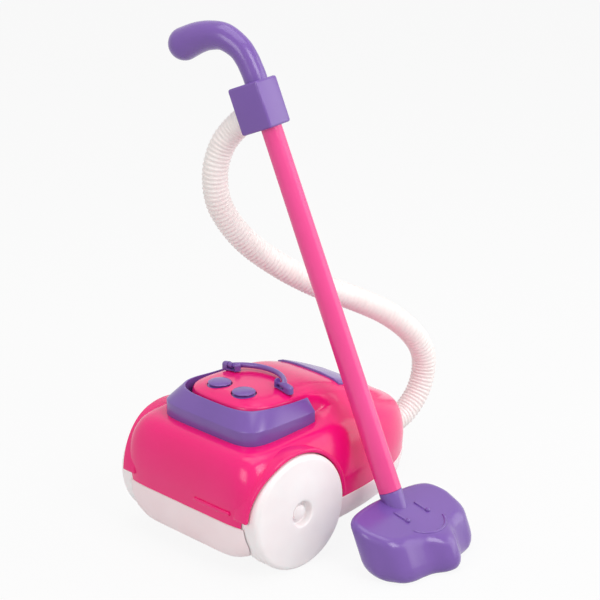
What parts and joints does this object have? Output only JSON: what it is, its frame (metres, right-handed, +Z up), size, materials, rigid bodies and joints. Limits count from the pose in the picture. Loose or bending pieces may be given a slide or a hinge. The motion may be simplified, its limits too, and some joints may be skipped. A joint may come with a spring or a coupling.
{
  "type": "toy vacuum cleaner",
  "caption": "Child's pretend canister vacuum: wheeled pink body with push buttons and a carry handle, ribbed hose, leaning wand with a cane grip and a wide floor nozzle.",
  "frame": {"origin": "on the floor, in the middle of the footprint of the whole toy without its free hose", "axes": "+Z up, +Y towards the body's nose, +X towards the wand's side"},
  "size_m": [0.3489, 0.3674, 0.5175],
  "materials": {
    "pink_plastic": "glossy hot pink moulded plastic",
    "violet_plastic": "glossy violet moulded plastic",
    "blush_plastic": "satin pinkish white moulded plastic",
    "wheel_plastic": "satin white blow-moulded plastic",
    "hose_plastic": "soft off-white corrugated plastic",
    "steel": "plain bright steel"
  },
  "bodies": {
    "canister": {"base_tub": "blush_plastic", "top_shell": "pink_plastic", "rear_bumper": "violet_plastic", "hood_band": "violet_plastic", "left_button_spring": "steel", "right_button_spring": "steel", "button_carrier": "blush_plastic", "carrier_screws": "steel", "left_handle_bracket": "violet_plastic", "right_handle_bracket": "violet_plastic", "rear_axle": "steel", "axle_caps": "wheel_plastic", "base_screws": "steel", "hose_inlet": "pink_plastic", "front_hose_cuff": "hose_plastic", "hose": "hose_plastic"},
    "left wheel": {"left_wheel": "wheel_plastic"},
    "right wheel": {"right_wheel": "wheel_plastic"},
    "caster": {"caster_fork": "blush_plastic", "caster_pin": "steel", "caster_clip": "steel"},
    "caster roller": {"caster_wheel": "wheel_plastic"},
    "left button": {"left_button": "violet_plastic"},
    "right button": {"right_button": "violet_plastic"},
    "carry handle": {"carry_handle": "violet_plastic"},
    "wand": {"wand_tube": "pink_plastic", "handle_block": "violet_plastic", "handle_grip": "violet_plastic", "nozzle": "violet_plastic"}
  },
  "joints": [
    {"name": "left_wheel_spin", "type": "hinge", "parent": "canister", "child": "left wheel", "pos_m": [-0.14105, -0.08475, 0.06], "axis": [1, 0, 0], "continuous": true},
    {"name": "right_wheel_spin", "type": "hinge", "parent": "canister", "child": "right wheel", "pos_m": [0.04195, -0.08475, 0.06], "axis": [1, 0, 0], "continuous": true},
    {"name": "caster_swivel", "type": "hinge", "parent": "canister", "child": "caster", "pos_m": [-0.04955, 0.08025, 0.036], "axis": [0, 0, 1], "continuous": true},
    {"name": "caster_roll", "type": "hinge", "parent": "caster", "child": "caster roller", "pos_m": [-0.04955, 0.07425, 0.015], "axis": [1, 0, 0], "continuous": true},
    {"name": "left_button_press", "type": "slide", "parent": "canister", "child": "left button", "axis": [0, 0, -1], "range_m": [0, 0.0025], "stiffness_N_per_m": 400, "springref_m": -0.001, "deforming": ["left_button_spring"]},
    {"name": "right_button_press", "type": "slide", "parent": "canister", "child": "right button", "axis": [0, 0, -1], "range_m": [0, 0.0025], "stiffness_N_per_m": 400, "springref_m": -0.001, "deforming": ["right_button_spring"]},
    {"name": "carry_handle_lift", "type": "hinge", "parent": "canister", "child": "carry handle", "pos_m": [-0.04955, -0.04675, 0.1665], "axis": [1, 0, 0], "range_deg": [0, 95]},
    {"name": "wand_push", "type": "slide", "parent": "canister", "child": "wand", "axis": [0.9781, 0.2079, 0], "range_m": [0, 0.12], "deforming": ["hose"]}
  ]
}
